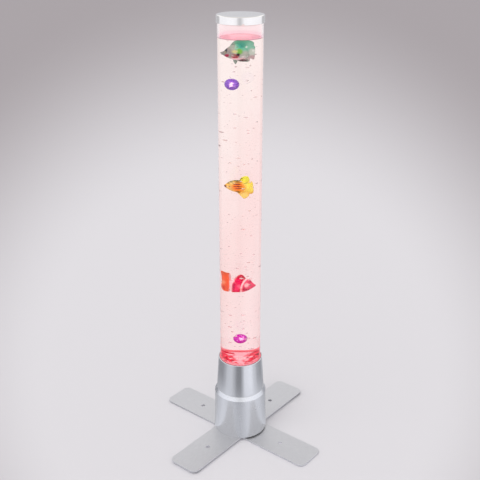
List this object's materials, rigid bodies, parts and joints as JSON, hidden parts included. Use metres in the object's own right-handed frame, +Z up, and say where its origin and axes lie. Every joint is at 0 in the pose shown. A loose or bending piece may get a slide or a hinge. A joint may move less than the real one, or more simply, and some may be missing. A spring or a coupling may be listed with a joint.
{
  "type": "bubble tube floor lamp",
  "caption": "Floor lamp: a clear water-filled tube with drifting fish and balls, in a tapered silver collar on a round can over crossed steel bars.",
  "frame": {"origin": "on the floor under the middle of the tube", "axes": "+Z up along the tube; the lower bar lies along X and the upper bar along Y; the power socket and colour button face (-X, +Y)"},
  "size_m": [0.408, 0.408, 0.9459],
  "materials": {
    "cap_silver": "satin",
    "tube_clear": "polished clear acrylic",
    "plug_clear": "clear acrylic",
    "seal_rubber": "matte",
    "nozzle_plastic": "translucent satin",
    "nozzle_washer": "matte",
    "collar_silver": "satin silver",
    "can_silver": "satin silver",
    "base_plate": "satin silver",
    "black_rubber": "matte",
    "pad_rubber": "matte",
    "bar_steel": "satin",
    "screw_steel": "bright",
    "light_board": "solder mask",
    "light_lens": "lit",
    "brass_posts": "bright",
    "valve_plastic": "gloss",
    "hose_clear": "soft clear",
    "circuit_board": "solder mask",
    "board_parts": "matte",
    "socket_black": "satin",
    "socket_nut": "bright",
    "button_plastic": "satin",
    "pump_plastic": "matte",
    "core_iron": "stacked sheet",
    "coil_copper": "wound enamelled wire",
    "arm_nylon": "matte",
    "magnet": "matte",
    "lead_sleeve": "satin",
    "fish_green": "gloss",
    "fish_orange": "gloss",
    "fish_banded": "gloss",
    "ball_purple": "translucent",
    "ball_pink": "translucent"
  },
  "bodies": {
    "lamp": {"tube": "tube_clear", "tube_plug": "plug_clear", "plug_seals": "seal_rubber", "air_nozzle": "nozzle_plastic", "nozzle_washer": "nozzle_washer", "nozzle_nut": "nozzle_plastic", "collar": "collar_silver", "collar_screws": "screw_steel", "tube_cushion": "black_rubber", "base_can": "can_silver", "base_plate": "base_plate", "plate_screws": "screw_steel", "upper_bar": "bar_steel", "lower_bar": "bar_steel", "upper_bar_pads": "pad_rubber", "lower_bar_pads": "pad_rubber", "bar_screws": "screw_steel", "bar_nuts": "screw_steel", "light_board": "light_board", "lights": "light_lens", "light_posts": "brass_posts", "light_screws": "screw_steel", "check_valve": "valve_plastic", "upper_hose": "hose_clear", "lower_hose": "hose_clear", "control_board": "circuit_board", "board_parts": "board_parts", "control_posts": "brass_posts", "control_screws": "screw_steel", "power_socket": "socket_black", "socket_nut": "socket_nut", "button_switch": "board_parts", "button_board": "circuit_board", "button_screws": "screw_steel", "pump_tray": "pump_plastic", "pump_feet": "black_rubber", "pump_core": "core_iron", "pump_coil": "coil_copper", "pivot_pin": "screw_steel", "pump_diaphragm": "black_rubber", "pump_chamber": "pump_plastic", "valve_cover": "pump_plastic", "cover_screws": "screw_steel", "power_lead": "lead_sleeve", "coil_lead": "lead_sleeve", "light_lead": "lead_sleeve", "button_lead": "lead_sleeve"},
    "cap": {"top_cap": "cap_silver"},
    "button": {"colour_button": "button_plastic", "button_plunger": "socket_black"},
    "arm": {"pump_arm": "arm_nylon", "arm_magnet": "magnet"},
    "ball_pink_float": {"ball_pink": "ball_pink"},
    "fish_banded_float": {"fish_banded": "fish_banded"},
    "fish_orange_float": {"fish_orange": "fish_orange"},
    "ball_purple_float": {"ball_purple": "ball_purple"},
    "fish_green_float": {"fish_green": "fish_green"}
  },
  "joints": [
    {"name": "cap_lift", "type": "slide", "parent": "lamp", "child": "cap", "axis": [0, 0, 1], "range_m": [0, 0.04]},
    {"name": "button_press", "type": "slide", "parent": "lamp", "child": "button", "axis": [0.7071, -0.7071, 0], "range_m": [0, 0.0008], "stiffness_N_per_m": 600},
    {"name": "arm_swing", "type": "hinge", "parent": "lamp", "child": "arm", "pos_m": [0.032, -0.014, 0.035], "axis": [0, 0, 1], "range_deg": [-1.5, 1.5], "stiffness_Nm_per_rad": 0.6, "deforming": ["pump_diaphragm"]},
    {"name": "ball_pink_drift", "type": "slide", "parent": "lamp", "child": "ball_pink_float", "axis": [0, 0, 1], "range_m": [-0.0347, 0.1034]},
    {"name": "fish_banded_drift", "type": "slide", "parent": "lamp", "child": "fish_banded_float", "axis": [0, 0, 1], "range_m": [-0.1034, 0.1678]},
    {"name": "fish_orange_drift", "type": "slide", "parent": "lamp", "child": "fish_orange_float", "axis": [0, 0, 1], "range_m": [-0.1678, 0.176]},
    {"name": "ball_purple_drift", "type": "slide", "parent": "lamp", "child": "ball_purple_float", "axis": [0, 0, 1], "range_m": [-0.176, 0.0276]},
    {"name": "fish_green_drift", "type": "slide", "parent": "lamp", "child": "fish_green_float", "axis": [0, 0, 1], "range_m": [-0.0276, 0.0021]}
  ]
}
